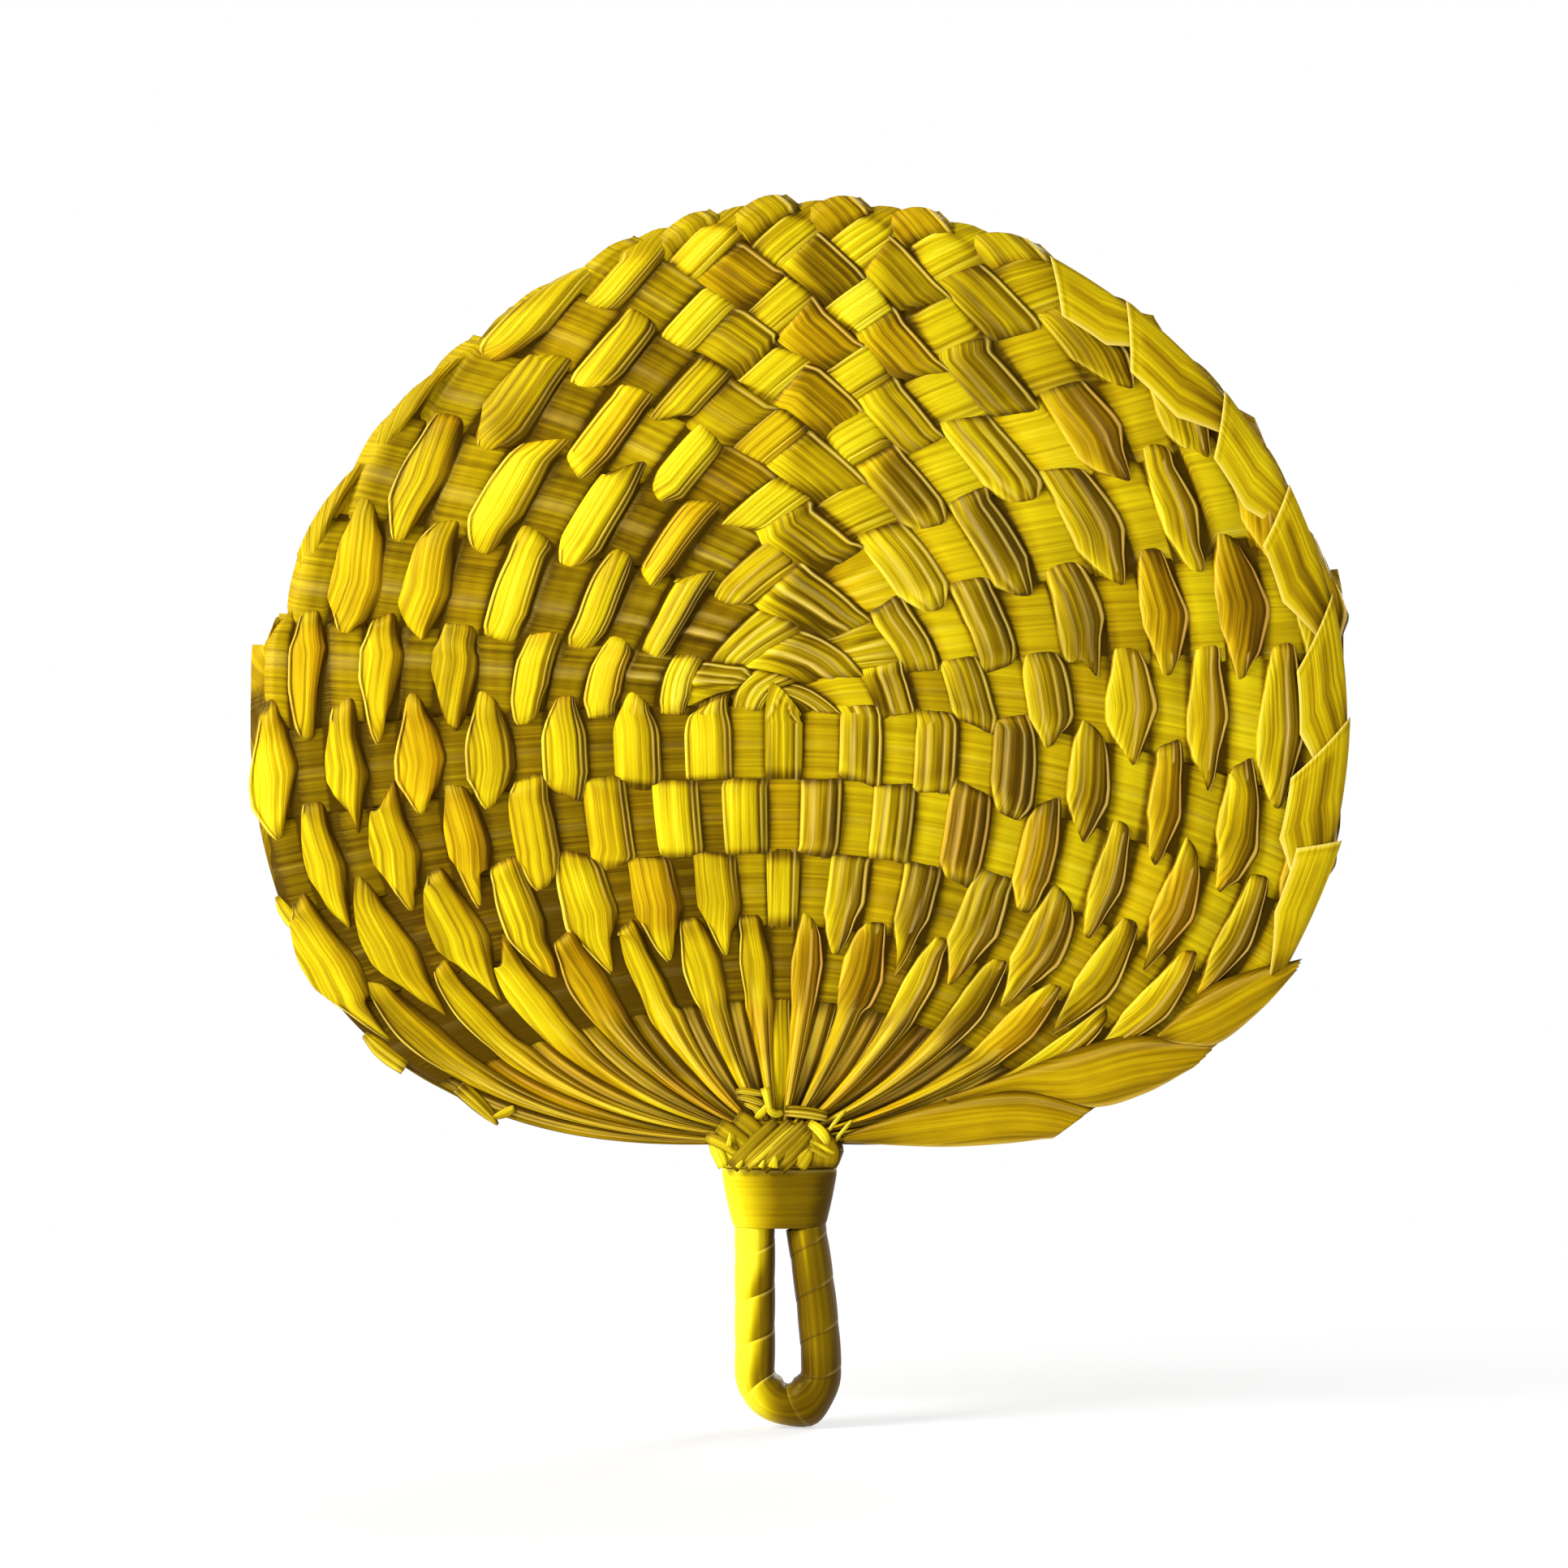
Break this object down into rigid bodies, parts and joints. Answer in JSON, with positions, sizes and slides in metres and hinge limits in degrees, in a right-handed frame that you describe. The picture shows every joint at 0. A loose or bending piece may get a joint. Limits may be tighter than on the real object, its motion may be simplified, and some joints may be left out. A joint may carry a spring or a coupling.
{
  "type": "palm leaf fan",
  "caption": "Round hand fan plaited from the segments of a palm leaf, bound at the neck and carried on a wrapped loop handle, for moving air by hand.",
  "frame": {"origin": "middle of the collar at the neck, where the thumb and forefinger of a hand close on the fan", "axes": "+Z from the handle to the top of the blade, +Y out of the back of the blade, +X to the right of the face"},
  "size_m": [0.342, 0.0163, 0.3846],
  "materials": {
    "leaf": "satin dyed palm leaf with fine fibres along it",
    "binding": "satin dyed palm leaf, folded edges",
    "collar": "smooth satin leaf band",
    "handle_wrap": "smooth satin leaf strip",
    "stalk": "matt raw stalk"
  },
  "bodies": {
    "root": {"left_segment_01": "leaf", "left_segment_02": "leaf", "left_segment_03": "leaf", "left_segment_04": "leaf", "left_segment_05": "leaf", "left_segment_06": "leaf", "left_segment_07": "leaf", "left_segment_08": "leaf", "left_segment_09": "leaf", "left_segment_10": "leaf", "left_segment_11": "leaf", "left_segment_12": "leaf", "left_segment_13": "leaf", "left_segment_14": "leaf", "right_segment_01": "leaf", "right_segment_02": "leaf", "right_segment_03": "leaf", "right_segment_04": "leaf", "right_segment_05": "leaf", "right_segment_06": "leaf", "right_segment_07": "leaf", "right_segment_08": "leaf", "right_segment_09": "leaf", "right_segment_10": "leaf", "right_segment_11": "leaf", "right_segment_12": "leaf", "right_segment_13": "leaf", "right_segment_14": "leaf", "middle_segment": "leaf", "middle_turn": "leaf", "weft_1": "leaf", "weft_2": "leaf", "weft_3": "leaf", "weft_4": "leaf", "edge_binding_1": "binding", "edge_binding_2": "binding", "edge_binding_3": "binding", "edge_binding_4": "binding", "edge_binding_5": "binding", "edge_binding_6": "binding", "edge_binding_7": "binding", "leaf_end_1": "binding", "leaf_end_2": "binding", "leaf_end_3": "binding", "collar_band": "collar", "neck_binding": "collar", "neck_core": "stalk", "handle_core": "stalk", "handle_wrap": "handle_wrap", "neck_plait_1": "binding", "neck_plait_2": "binding", "neck_plait_3": "binding", "neck_plait_4": "binding", "neck_knot": "binding", "knot_tail": "binding", "cross_tie": "binding", "side_tie": "binding"}
  },
  "joints": []
}
